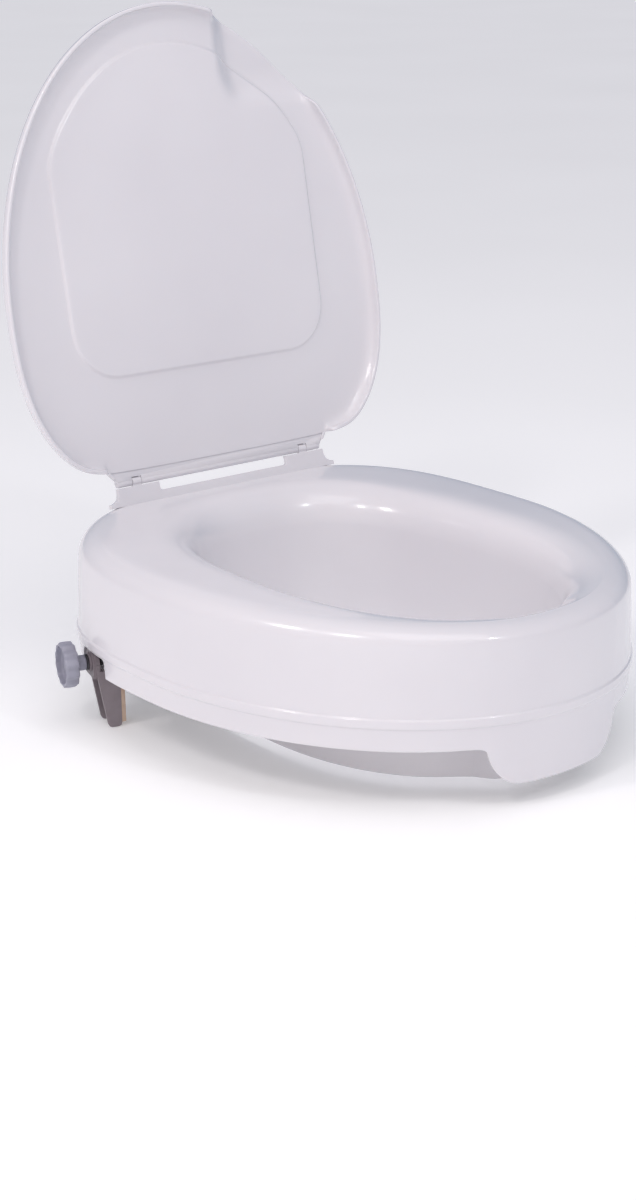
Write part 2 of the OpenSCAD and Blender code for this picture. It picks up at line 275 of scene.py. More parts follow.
def tint(tree, shader, value, low, high, dark, light):
    ramp = tree.nodes.new("ShaderNodeValToRGB")
    ramp.color_ramp.elements[0].position = low
    ramp.color_ramp.elements[0].color = (*dark, 1)
    ramp.color_ramp.elements[1].position = high
    ramp.color_ramp.elements[1].color = (*light, 1)
    tree.links.new(value, ramp.inputs["Fac"])
    tree.links.new(ramp.outputs["Color"], shader.inputs["Base Color"])


def vary_roughness(tree, shader, value, low, high):
    spread = tree.nodes.new("ShaderNodeMapRange")
    spread.inputs["From Min"].default_value = 0.3
    spread.inputs["From Max"].default_value = 0.7
    spread.inputs["To Min"].default_value = low
    spread.inputs["To Max"].default_value = high
    tree.links.new(value, spread.inputs["Value"])
    tree.links.new(spread.outputs["Result"], shader.inputs["Roughness"])


def relief(tree, shader, height, strength, distance, under=None):
    bump = tree.nodes.new("ShaderNodeBump")
    bump.inputs["Strength"].default_value = strength
    bump.inputs["Distance"].default_value = distance
    tree.links.new(height, bump.inputs["Height"])
    if under:
        tree.links.new(under.outputs["Normal"], bump.inputs["Normal"])
    tree.links.new(bump.outputs["Normal"], shader.inputs["Normal"])
    return bump


def glossy_shell():
    """Polished polypropylene: a broad sink-mark waviness under a very fine surface ripple."""
    white = (0.75, 0.735, 0.77)
    material, tree, shader, coords = finish("gloss white moulding", white, 0.2, coat=0.35, subsurface=0.08)
    tint(tree, shader, noise(tree, coords, 7, 2), 0.3, 0.7, (0.73, 0.715, 0.75), (0.77, 0.755, 0.785))
    vary_roughness(tree, shader, noise(tree, coords, 26, 4, 0.6), 0.17, 0.25)
    broad = relief(tree, shader, noise(tree, coords, 16, 1), 0.12, 0.0012)
    relief(tree, shader, noise(tree, coords, 620, 2), 0.05, 0.0002, under=broad)
    return material


def clamp_moulding(name, dark, light):
    """Satin grey polyamide with spark-eroded grain and rubbed high spots."""
    material, tree, shader, coords = finish(name, light, 0.4)
    tint(tree, shader, noise(tree, coords, 55, 4), 0.3, 0.72, dark, light)
    vary_roughness(tree, shader, noise(tree, coords, 210, 3), 0.34, 0.5)
    relief(tree, shader, noise(tree, coords, 2400, 3, 0.6), 0.25, 0.0001)
    return material


def rest_rubber():
    """Dark moulded rubber with a chalky bloom and a fine matt grain."""
    material, tree, shader, coords = finish("dark rest rubber", (0.05, 0.05, 0.053), 0.78, specular=0.3)
    tint(tree, shader, noise(tree, coords, 90, 5), 0.35, 0.75, (0.038, 0.038, 0.04), (0.085, 0.085, 0.088))
    vary_roughness(tree, shader, noise(tree, coords, 160, 3), 0.68, 0.86)
    relief(tree, shader, noise(tree, coords, 1500, 4, 0.65), 0.4, 0.00015)
    return material


def jaw_rubber():
    """Tan natural-rubber pad with a mottled tone."""
    material, tree, shader, coords = finish("tan jaw rubber", (0.66, 0.5, 0.38), 0.66, specular=0.35)
    tint(tree, shader, noise(tree, coords, 120, 5), 0.3, 0.75, (0.58, 0.42, 0.31), (0.74, 0.58, 0.46))
    vary_roughness(tree, shader, noise(tree, coords, 260, 3), 0.58, 0.76)
    relief(tree, shader, noise(tree, coords, 1300, 4, 0.6), 0.35, 0.00015)
    return material


def steel(name, color, dark, rough):
    """Plated steel with fine turning lines and a cloudy plating tone."""
    material, tree, shader, coords = finish(name, color, rough, metallic=1.0)
    tint(tree, shader, noise(tree, coords, 140, 4), 0.3, 0.75, dark, color)
    vary_roughness(tree, shader, noise(tree, coords, 700, 2, stretch=(1, 1, 6)), rough - 0.07, rough + 0.1)
    relief(tree, shader, noise(tree, coords, 1800, 2, stretch=(1, 1, 5)), 0.18, 0.00008)
    return material


SHELL = glossy_shell()
# One clamp plastic in two painted copies: a darker mauve copy with painted shade for the bracket, and a
# lighter blue copy with painted light for the knob.
SHADED_CLAMP_GREY = clamp_moulding("clamp grey with painted mauve shade", (0.2, 0.168, 0.185), (0.265, 0.23, 0.25))
LIT_CLAMP_GREY = clamp_moulding("clamp grey with painted blue light", (0.27, 0.27, 0.33), (0.34, 0.345, 0.42))
REST_RUBBER = rest_rubber()
JAW_RUBBER = jaw_rubber()
ZINC = steel("zinc plated steel", (0.62, 0.63, 0.65), (0.5, 0.51, 0.53), 0.32)
DARK_STEEL = steel("dark oxide steel", (0.13, 0.13, 0.14), (0.075, 0.075, 0.08), 0.4)


def dress(piece, material, body, slot, *nodes):
    piece.data.materials.clear()
    piece.data.materials.append(material)
    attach(piece, body)
    if nodes:
        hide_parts(*nodes)
    return piece


# ---------------------------------------------------------------- seat moulding

def seat_point(t, inset):
    if sin(t) < 0:
        return curve(t, SEAT_HALF_W - inset, SEAT_FRONT - inset, FRONT_POWER)
    return curve(t, SEAT_HALF_W - inset, SEAT_REAR - inset, REAR_POWER)


def hole_point(t, grow):
    rear = sin(t) >= 0
    x, y = curve(t, HOLE_HALF_W + grow, HOLE_REACH + grow, 2.6 if rear else 2.2)
    scoop = 0 if rear else SCOOP_D * (1 - ease(abs(x), 28, 42)) * (1 - ease(grow, 4, DISH_W - 2))
    return x, y + HOLE_SHIFT - scoop


def deck_lift(y):
    return REAR_RISE * (y / SEAT_REAR) ** 2 if y > 0 else -FRONT_DROP * (y / SEAT_FRONT) ** 2


def skirt_edge(t):
    x, y = seat_point(t, 0)
    out = min(max((abs(x) - APRON_HALF_W) / APRON_CORNER, 0), 1)
    return SKIRT_Z if y > 0 else SKIRT_Z + (APRON_Z - SKIRT_Z) * sqrt(1 - out * out)


def seat_angles():
    """Even steps round the seat, with extra ones at the apron's corners and the scoop's sides."""
    steps = [2 * pi * (i + 0.5) / 80 for i in range(80)]
    extra = []
    for x in (APRON_HALF_W + APRON_CORNER + 0.6, APRON_HALF_W + APRON_CORNER - 0.4, APRON_HALF_W + 22,
              APRON_HALF_W + 15, APRON_HALF_W + 7):
        quarter = acos((x / SEAT_HALF_W) ** (FRONT_POWER / 2))
        extra += [2 * pi - quarter, pi + quarter]
    gap = 2 * pi / 80 * 0.25
    steps = [a for a in steps if all(abs(a - b) > gap for b in extra)]
    return sorted(steps + extra)


ANGLES = seat_angles()


def seat_ring(inset, z, share=0.0):
    ring = []
    for t in ANGLES:
        x, y = seat_point(t, inset)
        ring.append(Vector((x, y, z + share * deck_lift(y))))
    return ring


def hole_ring(grow, z, share=1.0):
    ring = []
    for t in ANGLES:
        x, y = hole_point(t, grow)
        ring.append(Vector((x, y, z + share * deck_lift(y))))
    return ring


def low_ring(inset, rise):
    """Ring that follows the skirt's lower edge at a height above it."""
    ring = []
    for t in ANGLES:
        x, y = seat_point(t, inset)
        ring.append(Vector((x, y, skirt_edge(t) + rise)))
    return ring


def deck_ring(mix, drop):
    ring = []
    for t in ANGLES:
        ax, ay = seat_point(t, 3 + EDGE_R)
        bx, by = hole_point(t, DISH_W)
        x, y = ax + (bx - ax) * mix, ay + (by - ay) * mix
        ring.append(Vector((x, y, DECK_Z - drop + deck_lift(y))))
    return ring


def edge_rings(depth):
    radius = EDGE_R - depth
    rings = []
    for i in range(6):
        a = radians(18 * i)
        rings.append(seat_ring(3 + depth + radius * (1 - cos(a)), DECK_Z - EDGE_R + radius * sin(a), sin(a)))
    return rings


def dish_rings(depth):
    rings = []
    for i in range(5):
        a = radians(20 * i)
        rings.append(hole_ring(depth + DISH_W * (1 - sin(a)), DECK_Z - depth - DISH_H * (1 - cos(a))))
    return rings


def make_seat():
    bm = bmesh.new()
    splash_top = DECK_Z - DISH_H
    rings = [low_ring(SKIRT_INSET + 0.6, 0), low_ring(SKIRT_INSET, 0.6), low_ring(SKIRT_INSET - 0.1, 5),
             seat_ring(1.1, BELT_Z - BELT_H - 0.9), seat_ring(0.9, BELT_Z - BELT_H - 0.2),
             seat_ring(0.15, BELT_Z - BELT_H + 0.5), seat_ring(0, BELT_Z - BELT_H + 1.4),
             seat_ring(0, BELT_Z - 0.9), seat_ring(0.1, BELT_Z - 0.1), seat_ring(0.9, BELT_Z + 0.6),
             seat_ring(1.25, BELT_Z + 1.2), seat_ring(1.3, BELT_Z + 3), seat_ring(2.1, 50)]
    rings += edge_rings(0)
    rings += [deck_ring(0.33, 0), deck_ring(0.66, 0)]
    rings += dish_rings(0)
    rings += [hole_ring(-0.5, splash_top - 1.2), hole_ring(-0.8, splash_top - 3), hole_ring(-2.4, 30, 0.3),
              hole_ring(-3.9, SPLASH_Z + 1, 0), hole_ring(-3.5, SPLASH_Z, 0),
              hole_ring(WALL - 4.5, SPLASH_Z, 0), hole_ring(WALL - 4, SPLASH_Z + 1, 0),
              hole_ring(WALL - 2, 30, 0.3), hole_ring(WALL, splash_top - WALL)]
    rings += list(reversed(dish_rings(WALL)[:-1]))
    rings += [deck_ring(0.66, WALL), deck_ring(0.33, WALL)]
    rings += list(reversed(edge_rings(WALL)))
    rings += [seat_ring(SKIRT_INSET + WALL, BELT_Z), low_ring(SKIRT_INSET + WALL, 0.6),
              low_ring(SKIRT_INSET + WALL - 0.6, 0)]
    skin(bm, rings, closed=True)
    seat = subdivide(link("seat_moulding", bm), 2)
    bake(seat)
    for side in (-1, 1):
        cut(seat, notch_cutter(side))
    cut(seat, slot_cutter())
    return dress(sharpen(seat, 40), SHELL, "seat", "shell", "seat_body")


def clamp_place(side):
    """Frame on a clamp screw, with +X running outward from the skirt and +Z up."""
    place = Matrix.Translation(CLAMP) @ Matrix.Rotation(CLAMP_TURN, 4, "Z")
    return place if side > 0 else Matrix.Scale(-1, 4, (1, 0, 0)) @ place


def along_screw(side):
    """Frame on a clamp screw with +Z running outward, for turned pieces."""
    return clamp_place(side) @ Matrix.Rotation(pi / 2, 4, "Y")


def arch(radius, low, steps=20):
    """Outline of an arch, open downward, as (across, up) points."""
    top = [(radius * cos(pi * i / steps), radius * sin(pi * i / steps)) for i in range(steps + 1)]
    return top + [(-radius, low), (radius, low)]


def across_screw(side, at):
    """Frame whose XY plane stands across the screw at a place along it."""
    turn = Matrix(((0, 0, 1, 0), (1, 0, 0, 0), (0, 1, 0, 0), (0, 0, 0, 1)))
    return clamp_place(side) @ Matrix.Translation((at, 0, 0)) @ turn


def notch_cutter(side):
    """Cutter for the skirt's notch: rounded over the clamp, and run on towards the front."""
    bm = bmesh.new()
    over = [(NOTCH_R * cos(pi * i / 28), NOTCH_R * sin(pi * i / 28)) for i in range(15)]
    r = NOTCH_CORNER
    corner = [(r - NOTCH_FRONT + r * cos(pi * i / 12), NOTCH_R - r + r * sin(pi * i / 12))
              for i in range(6, 13)]
    prism(bm, over + corner + [(-NOTCH_FRONT, -30), (NOTCH_R, -30)], across_screw(side, -10), 18)
    return link("notch_helper", bm)


def slot_cutter():
    bm = bmesh.new()
    foot_z = DECK_Z + deck_lift(FOOT_Y)
    for x in TONGUES_X:
        block(bm, (x - 8.2, FOOT_Y + 0.8, foot_z - 12), (x + 8.2, FOOT_Y + 4.2, foot_z + 4))
    return link("slot_helper", bm)


def make_ribs():
    """Upright ribs under the deck, the feet over the rest pads, and the two nut housings."""
    bm = bmesh.new()
    for t in (*sorted(PAD_ANGLES.values()), *RIB_ANGLES):
        a = Vector((*hole_point(radians(t), 1.2), 0))
        b = Vector((*seat_point(radians(t), SKIRT_INSET + 2.2), 0))
        run = (b - a).length
        turn = atan2((b - a).y, (b - a).x)
        under = DECK_Z + deck_lift((a.y + b.y) / 2) - WALL / 2
        outline = [(0, 5), (run, 5), (run, 70), (run - EDGE_R - 4, under - 5), (DISH_W + 4, under - 5),
                   (0, 55)]
        place = Matrix.Translation(a) @ Matrix.Rotation(turn, 4, "Z") @ Matrix.Rotation(pi / 2, 4, "X")
        prism(bm, outline, place @ Matrix.Translation((0, 0, -1.3)), 2.6)
        if t in PAD_ANGLES.values():
            block(bm, (-15, -7, 4), (15, 7, 7), pad_place(t))
    for side in (-1, 1):
        place = clamp_place(side)
        block(bm, (-38, -14, -3), (-33, 14, 86), place)
        nut_housing(bm, side)
    ribs = bevel(link("seat_ribs", bm), 0.5)
    return dress(ribs, SHELL, "seat", "shell")


def nut_flats(a, flats):
    """Distance from a hexagon's centre to its edge in a direction."""
    return flats / cos((a + pi / 6) % (pi / 3) - pi / 6)


def nut_housing(bm, side):
    """Round boss with a flat underside and a hexagonal pocket for the nut."""
    section = [(4.7, -35, 0), (9.2, -35, 0), (9.2, -12.4, 0), (8.9, -12, 0), (7.5, -12, 1), (7.5, -18.5, 1),
               (4.7, -18.5, 0)]
    rings = []
    for r, z, hexed in section:
        ring = []
        for j in range(48):
            a = 2 * pi * j / 48
            radius = nut_flats(a, POCKET_FLATS) if hexed else r
            ring.append(along_screw(side) @ Vector((min(radius * cos(a), 7.6), radius * sin(a), z)))
        rings.append(ring)
    skin(bm, rings, closed=True)


def pad_place(t):
    a = Vector((*hole_point(radians(t), 0), 0))
    b = Vector((*seat_point(radians(t), SKIRT_INSET + WALL), 0))
    turn = atan2((b - a).y, (b - a).x)
    return Matrix.Translation((a + b) / 2) @ Matrix.Rotation(turn, 4, "Z")


def make_rest_pad(name, t):
    """Rubber pad with grip ridges along its underside."""
    bm = bmesh.new()
    section = [(-7, 4), (-7, 0.9)]
    for i in range(5):
        y = -5.6 + 2.8 * i
        section += [(y - 0.9, 0), (y + 0.9, 0), (y + 1.4, 0.9)]
    section += [(7, 0.9), (7, 4)]
    place = pad_place(t) @ Matrix.Translation((-15, 0, 0)) @ Matrix.Rotation(pi / 2, 4, "Z")
    prism(bm, section, place @ Matrix.Rotation(pi / 2, 4, "X"), 30)
    pad = bevel(link(name + "_grip", bm), 0.35)
    return dress(pad, REST_RUBBER, "seat", "rest_rubber", name)


# ---------------------------------------------------------------- hinge

def make_hinge_bracket():
    """Leaning plate with a long window, flared feet, two ears with lid stops, and four tongues."""
    bm = bmesh.new()
    foot_z = DECK_Z + deck_lift(FOOT_Y)
    flare = [(109, -3), (109, 0), (105.5, 0.7), (103, 2), (101.2, 4), (100.4, 6.5), (100, PLATE_H)]
    window = [(62, PLATE_H), (62, 6.1), (61.5, 4.8), (60.2, 4.3)]
    outline = flare + window + [(-x, z) for x, z in reversed(window)] + [(-x, z) for x, z in reversed(flare)]
    lean = Matrix.Translation((0, FOOT_Y + 4 * cos(PLATE_LEAN), foot_z + 4 * sin(PLATE_LEAN)))
    lean = lean @ Matrix.Rotation(pi / 2 - PLATE_LEAN, 4, "X")
    prism(bm, outline, lean, 4)
    for x in TONGUES_X:
        block(bm, (x - 8, FOOT_Y + 1, foot_z - 13), (x + 8, FOOT_Y + 4, foot_z + 1.5))
    for x in (-85, 77):
        ear(bm, x)
    bracket = bevel(link("hinge_strip", bm), 0.45)
    return dress(bracket, SHELL, "seat", "shell", "hinge_bracket")


def ear(bm, x):
    """Ear round the hinge pin, eight millimetres wide, with the lid's stop behind it."""
    place = Matrix.Translation((x, PIN.y, PIN.z)) @ Matrix.Rotation(-PLATE_LEAN, 4, "X")
    place = place @ Matrix(((0, 0, 1, 0), (1, 0, 0, 0), (0, 1, 0, 0), (0, 0, 0, 1)))
    ring = [(BARREL_R * cos(radians(a)), BARREL_R * sin(radians(a))) for a in range(70, 246, 12)]
    outline = [(2.4, -1), (2.4, 6), (0.1, 6), (0.1, 3)] + ring[2:] + [(-2.7, -5), (0.7, -5), (0.7, -2.9)]
    prism(bm, outline, place, 8)


def make_hinge_pin(name, side):
    bm = bmesh.new()
    low, high = (64, 98) if side > 0 else (-98, -64)
    place = Matrix.Translation((0, PIN.y, PIN.z)) @ Matrix.Rotation(pi / 2, 4, "Y")
    turned(bm, [(0.85, low), (PIN_R, low + 0.4), (PIN_R, high - 0.4), (0.85, high)], place, 24)
    pin = bevel(link(name + "_rod", bm), 0.1, 1)
    return dress(sharpen(pin, 50), ZINC, "seat", "steel", name)


# ---------------------------------------------------------------- lid

def lid_place():
    return Matrix.Translation(PIN) @ Matrix.Rotation(-LID_OPEN, 4, "X")


def lid_point(t, inset):
    if sin(t) > 0:
        x, y = curve(t, LID_HALF_W - inset, 150 - inset, 2.6)
    else:
        x, y = curve(t, LID_HALF_W - inset, LID_LENGTH - LID_MID - inset, 2)
    past = y - LID_MID + LID_BACK + inset
    return x, -LID_BACK - inset + (past - sqrt(past * past + 150)) / 2


def lid_angles():
    """Even steps round the lid, with extra ones where its rim stops beside the hinge."""
    extra = []
    for x in (106.5, 108, 109.5, 111):
        quarter = acos((x / LID_HALF_W) ** 1.3)
        extra += [quarter, pi - quarter]
    extra += [2 * pi - acos(x / LID_HALF_W) for x in (134, 128, 54, 50, 46, 42)]
    gap = 2 * pi / 100 * 0.3
    steps = [2 * pi * (i + 0.5) / 100 for i in range(100)]
    return sorted([a for a in steps if all(abs(a - b) > gap for b in extra)] + extra)


LID_ANGLES = lid_angles()


def scoop_depth(p):
    """How far a place lies inside the finger scoop, in a rounded corner of the lid's front."""
    left = max(DENT_R - (p[0] - 42) * 1.35, 0)
    rear = max(DENT_R + p[1] + 267, 0)
    return DENT_R - hypot(left, rear)


def rim_share(p):
    """Share of the turned-down rim, which stops at the finger scoop and beside the hinge."""
    return max(ease(-p[1], 40, 70), ease(abs(p[0]), 107, 110)) * (1 - ease(scoop_depth(p), 0, 11))


def lid_ring(inset, z, drop=0.0):
    ring = []
    for t in LID_ANGLES:
        p = lid_point(t, inset)
        ring.append(Vector((p[0], p[1], z - drop * rim_share(p))))
    return ring


def finger_scoop(p):
    """Rise of the finger scoop: steep on its left, gentle towards the hinge."""
    return DENT_H * ease(scoop_depth(p), 1, 33)


def panel_ring(out, z):
    """Ring round the pressed panel: straight sides and hinge end, and a front that follows the lid."""
    half, back, corner, rim = 117 + out, 81 - out, 36 + out, 30 - out
    ring = []
    for t in LID_ANGLES:
        px, py = lid_point(t, rim)
        dx, dy = px, py - PANEL_Y
        low, high = 0.0, 1.0
        for _ in range(30):
            k = (low + high) / 2
            x, y = abs(dx * k), -(PANEL_Y + dy * k)
            qx, qy = x - (half - corner), back + corner - y
            outside = x > half or y < back or (qx > 0 and qy > 0 and hypot(qx, qy) > corner)
            low, high = (low, k) if outside else (k, high)
        ring.append(Vector((dx * low, PANEL_Y + dy * low, z)))
    return ring


def blend_rings(a, b, mix):
    return [p.lerp(q, mix) for p, q in zip(a, b)]


def make_lid():
    bm = bmesh.new()
    under, top = LID_UNDER, LID_UNDER + LID_T
    low_panel = panel_ring(0, under - PANEL_STEP)
    far = Vector((0, PANEL_Y, under - PANEL_STEP))
    under_rings = [[p.lerp(far, k) for p in low_panel] for k in (0.75, 0.5, 0.35, 0.2, 0.06)]
    under_rings += [low_panel, panel_ring(0.8, under - PANEL_STEP + 0.35), panel_ring(2.4, under - 0.25),
                    panel_ring(3.4, under)]
    rim_in = lid_ring(14, under)
    under_rings += [blend_rings(under_rings[-1], rim_in, k) for k in (0.33, 0.66)]
    under_rings += [rim_in, lid_ring(7.5, under, 0.4), lid_ring(4.6, under, 2.6), lid_ring(3.3, under, 5.5),
                    lid_ring(3, under, LID_RIM - 0.5), lid_ring(2.5, under, LID_RIM)]
    outer = [lid_ring(0.6, under, LID_RIM), lid_ring(0, under, LID_RIM - 0.6)]
    for a in (0, 22.5, 45, 67.5, 90):
        s = 1 - sin(radians(a))
        outer.append(lid_ring(7 * (1 - cos(radians(a))), top - LID_T * s, 5 * s))
    top_rim = lid_ring(16, top)
    top_out = panel_ring(1.4, top)
    top_rings = [top_rim, blend_rings(top_rim, top_out, 0.33), blend_rings(top_rim, top_out, 0.66), top_out,
                 panel_ring(0.6, top - 0.3), panel_ring(-1.2, top - PANEL_STEP + 0.2),
                 panel_ring(-2.2, top - PANEL_STEP)]
    far_top = Vector((0, PANEL_Y, top - PANEL_STEP))
    top_rings += [[p.lerp(far_top, k) for p in top_rings[-1]] for k in (0.06, 0.2, 0.35, 0.5, 0.75)]
    skin(bm, under_rings + outer + top_rings, caps=True)
    lid = link("lid_moulding", bm)
    subdivide(lid, 2)
    bake(lid)
    for vertex in lid.data.vertices:
        vertex.co.z += finger_scoop(vertex.co / MM) * MM
    flange = make_flange()
    join(lid, flange)
    lid.data.transform(Matrix.Scale(MM, 4) @ lid_place() @ Matrix.Scale(1 / MM, 4))
    return dress(sharpen(lid, 40), SHELL, "lid", "shell", "lid")


def join(piece, other):
    bm = bmesh.new()
    bm.from_mesh(piece.data)
    bm.from_mesh(other.data)
    bm.to_mesh(piece.data)
    bm.free()
    bpy.data.objects.remove(other)


def make_flange():
    """Flange and hinge barrel along the lid's rear edge, cleared round the bracket's two ears."""
    bm = bmesh.new()
    tilt = Matrix.Rotation(radians(-11), 4, "X") @ Matrix.Translation((0, 0, -2.9))
    clear = 3.3
    edges = [(-98.5, 0), (-85.3, 0), (-85.3, -clear), (-76.7, -clear), (-76.7, 0)]
    outline = edges + [(-x, y) for x, y in reversed(edges)] + [(106, -9), (-106, -9)]
    prism(bm, outline, tilt, 1.9)
    for side in (-1, 1):
        bar = [(106.6, -9), (102.4, -3.6), (100.4, -3.6), (103.8, -9)]
        prism(bm, [(side * x, y) for x, y in bar], tilt @ Matrix.Translation((0, 0, -1.9)), 2.4)
    for low, high in ((-98.5, -85.3), (-76.7, 76.7), (85.3, 98.5)):
        barrel = [(BARREL_R - 0.3, low), (BARREL_R, low + 0.3), (BARREL_R, high - 0.3), (BARREL_R - 0.3, high)]
        turned(bm, barrel, Matrix.Rotation(pi / 2, 4, "Y"), 32)
    flange = bevel(link("flange_helper", bm), 0.3)
    return bake(flange)


# ---------------------------------------------------------------- clamps

def make_clamp_bracket(side, label):
    """Arched hood round the screw, web with a round boss, two tapered flanges, and the jaw plate."""
    bm = bmesh.new()
    hood = [(HOOD_R * cos(pi * i / 24), HOOD_R * sin(pi * i / 24)) for i in range(25)]
    inner = HOOD_R - HOOD_T
    inside = [(inner * cos(pi * i / 24), inner * sin(pi * i / 24)) for i in range(24, -1, -1)]
    prism(bm, hood + inside, across_screw(side, -7.5), 3.5)
    flange = [(-22.5, -8), (-22.5, -47.5), (-21.8, -49.2), (-20, -50), (-14.8, -50), (-13, -49.3),
              (-11.7, -47), (-6, -14), (-4.5, -4), (-4, 0), (-7.5, 0), (-7.5, -5)]
    stand = Matrix(((1, 0, 0, 0), (0, 0, -1, 0), (0, 1, 0, 0), (0, 0, 0, 1)))
    for y in (-inner, HOOD_R):
        prism(bm, flange, clamp_place(side) @ Matrix.Translation((0, y, 0)) @ stand, HOOD_T)
    prism(bm, arch(HOOD_R - 1, -HOOD_R, 20), across_screw(side, -5.5), 3)
    prism(bm, [(-9.8, -47), (9.8, -47), (9.8, -10), (-9.8, -10)], across_screw(side, -22.5), 3)
    boss = [(4.06, -5.5), (7, -5.5), (7, -1.6), (6.4, -1), (4.5, -1), (4.06, -1.4)]
    tube_turned(bm, boss, along_screw(side), 40)
    bracket = bevel(link(f"{label}_clamp_arch", bm), 0.45)
    # The bracket wears the clamp plastic's darker copy, with painted shade.
    return dress(bracket, SHADED_CLAMP_GREY, f"{label}_clamp", "clamp_plastic", f"{label}_clamp_bracket")


def make_jaw_pad(side, label):
    """Rubber pad with upright grip ridges towards the bowl."""
    bm = bmesh.new()
    section = [(-22.5, -10.4), (-22.5, 10.4)]
    for i in range(6):
        y = 8.6 - 3.44 * i
        section += [(-25.3, y + 1.3), (-26, y + 0.8), (-26, y - 0.8), (-25.3, y - 1.3)]
    prism(bm, section, clamp_place(side) @ Matrix.Translation((0, 0, -47)), 35)
    pad = bevel(link(f"{label}_jaw_grip", bm), 0.25)
    return dress(pad, JAW_RUBBER, f"{label}_clamp", "jaw_rubber", f"{label}_jaw_pad")


def knob_radius(a):
    """Scalloped outline: round lobes with a shallow hollow between each pair."""
    return KNOB_R - 0.8 - 0.8 * cos(FLUTES * a)


def make_knob(side, label):
    """Knob with a recessed face; its lobes fade out of the (radius share, height, lobed) profile."""
    bm = bmesh.new()
    count = FLUTES * 8
    profile = [(0.18, 8.7, 0), (0.33, 8.7, 0), (0.36, 8.8, 0), (0.9, 8.8, 1), (0.975, 9.4, 1), (1.0, 10.8, 1),
               (1.0, 17.3, 1), (0.98, 18.7, 1), (0.93, 19.3, 1), (0.86, 19.3, 0.6), (0.835, 18.9, 0.3),
               (0.82, 17.4, 0), (0.805, 14.8, 0), (0.78, 14.4, 0), (0.62, 14.3, 0), (0.34, 14.3, 0),
               (0.31, 14.5, 0), (0.29, 15.4, 0), (0.26, 15.8, 0), (0.12, 15.9, 0)]
    rings = []
    for share, z, lobed in profile:
        ring = []
        for j in range(count):
            a = 2 * pi * j / count
            lobe = (knob_radius(a) / KNOB_R - 1) * lobed + 1
            reach = KNOB_R * share * lobe
            ring.append(along_screw(side) @ Vector((reach * cos(a), reach * sin(a), z)))
        rings.append(ring)
    skin(bm, rings, caps=True)
    turned(bm, [(4.2, 0.85), (5.5, 0.85), (5.8, 1.2), (5.8, 9.2), (4.2, 9.2)], along_screw(side), 40)
    knob = subdivide(link(f"{label}_scalloped_knob", bm), 1)
    # The knob wears the clamp plastic's lighter copy, with painted light.
    return dress(knob, LIT_CLAMP_GREY, f"{label}_turning_screw", "clamp_plastic", f"{label}_knob")


def make_screw(side, label):
    """Screw with a helical thread from its chamfered tip to the knob's hub."""
    bm = bmesh.new()
    pitch, low, high, segments = 1.25, -26.2, 0.4, 24
    count = int((high - low) / pitch * segments)
    place = along_screw(side)
    rings = []
    for i in range(count + 1):
        a = 2 * pi * i / segments
        crest = 3.3 + 0.68 * min(1, i / segments, (count - i) / segments)
        rings.append([place @ Vector((r * cos(a), r * sin(a), low + pitch * (i / segments + k)))
                      for r, k in ((3.2, -0.36), (crest, -0.07), (crest, 0.07), (3.2, 0.36))])
    skin(bm, rings, caps=True)
    turned(bm, [(2.6, -27), (3.3, -26.3), (3.36, -26), (3.36, 12.2)], place, 32)
    turned(bm, [(3.3, 0.5), (3.98, 1.1), (3.98, 12.1), (3.3, 12.3)], place, 32)
    screw = sharpen(link(f"{label}_threaded_screw", bm), 35)
    return dress(screw, DARK_STEEL, f"{label}_turning_screw", "dark_steel", f"{label}_clamp_screw")


def make_washer(side, label):
    bm = bmesh.new()
    section = [(4.02, -0.7), (6, -0.7), (6.2, -0.5), (6.2, 0.6), (6, 0.8), (4.02, 0.8)]
    tube_turned(bm, section, along_screw(side))
    washer = sharpen(link(f"{label}_plain_washer", bm), 30)
    return dress(washer, DARK_STEEL, f"{label}_turning_screw", "dark_steel", f"{label}_thrust_washer")


def make_retaining_ring(side, label):
    """Open spring ring with three inward lugs."""
    bm = bmesh.new()
    turns = [radians(-60 + 300 * i / 40) for i in range(41)]
    outer = [(6.8 * cos(a), 6.8 * sin(a)) for a in turns]
    inner = []
    for a in reversed(turns):
        lug = max(cos(a - radians(-55)), cos(a - radians(90)), cos(a - radians(235)))
        r = 5.3 - 1.25 * ease(lug, 0.93, 0.985)
        inner.append((r * cos(a), r * sin(a)))
    prism(bm, outer + inner, across_screw(side, -6.8), 1)
    ring = bevel(link(f"{label}_spring_ring", bm), 0.12, 1)
    return dress(ring, DARK_STEEL, f"{label}_turning_screw", "dark_steel", f"{label}_retaining_ring")


def make_nut(side, label):
    """Hexagon nut with chamfered corners and a clear thread bore."""
    bm = bmesh.new()
    section = [(4.06, -18, 0), (4.6, -18.3, 0), (6.4, -18.3, 0), (7.4, -17.8, 1), (7.4, -12.5, 1),
               (6.4, -12, 0), (4.6, -12, 0), (4.06, -12.3, 0)]
    rings = []
    for r, z, hexed in section:
        ring = []
        for j in range(48):
            a = 2 * pi * j / 48
            radius = min(r, nut_flats(a, NUT_FLATS)) if hexed else r
            ring.append(along_screw(side) @ Vector((radius * cos(a), radius * sin(a), z)))
        rings.append(ring)
    skin(bm, rings, closed=True)
    nut = link(f"{label}_hexagon_nut", bm)
    return dress(sharpen(nut, 25), ZINC, "seat", "steel", f"{label}_nut")


# ---------------------------------------------------------------- floor, lights, camera

def make_floor():
    low = cad_box[0][2] / MM
    reach = 40000
    bm = bmesh.new()
    for x, y in ((-reach, -reach), (reach, -reach), (reach, reach), (-reach, reach)):
        bm.verts.new((x, y, low - 0.2))
    bm.faces.new(bm.verts)
    floor = link("floor", bm)
    material, tree, shader, coords = finish("pale floor", (0.9, 0.9, 0.905), 0.7)
    tint(tree, shader, noise(tree, coords, 1.5, 2), 0.3, 0.7, (0.88, 0.88, 0.885), (0.91, 0.91, 0.915))
    shader.inputs["Emission Color"].default_value = (1, 1, 1, 1)
    shader.inputs["Emission Strength"].default_value = 0.2
    floor.data.materials.append(material)


